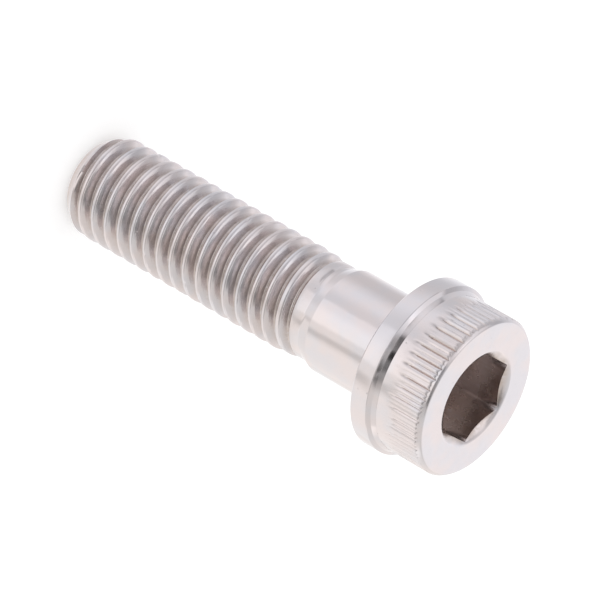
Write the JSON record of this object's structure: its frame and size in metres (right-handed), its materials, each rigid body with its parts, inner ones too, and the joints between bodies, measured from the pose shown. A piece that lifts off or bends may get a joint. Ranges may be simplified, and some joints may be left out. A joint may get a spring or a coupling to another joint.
{
  "type": "shoulder bolt",
  "caption": "Threaded bolt with a plain shoulder, a flange and a knurled head with a hexagon socket.",
  "frame": {"origin": "centre of the seat, in the plane of the flange's underside, on the bolt's axis", "axes": "+Z along the bolt's axis from the thread's end to the head; X through two opposite corners of the hexagon socket"},
  "size_m": [0.013, 0.013, 0.0355],
  "materials": {
    "stainless_steel": "turned and lightly polished stainless steel, with a rolled thread and knurl"
  },
  "bodies": {
    "root": {"shoulder_bolt": "stainless_steel"}
  },
  "joints": []
}
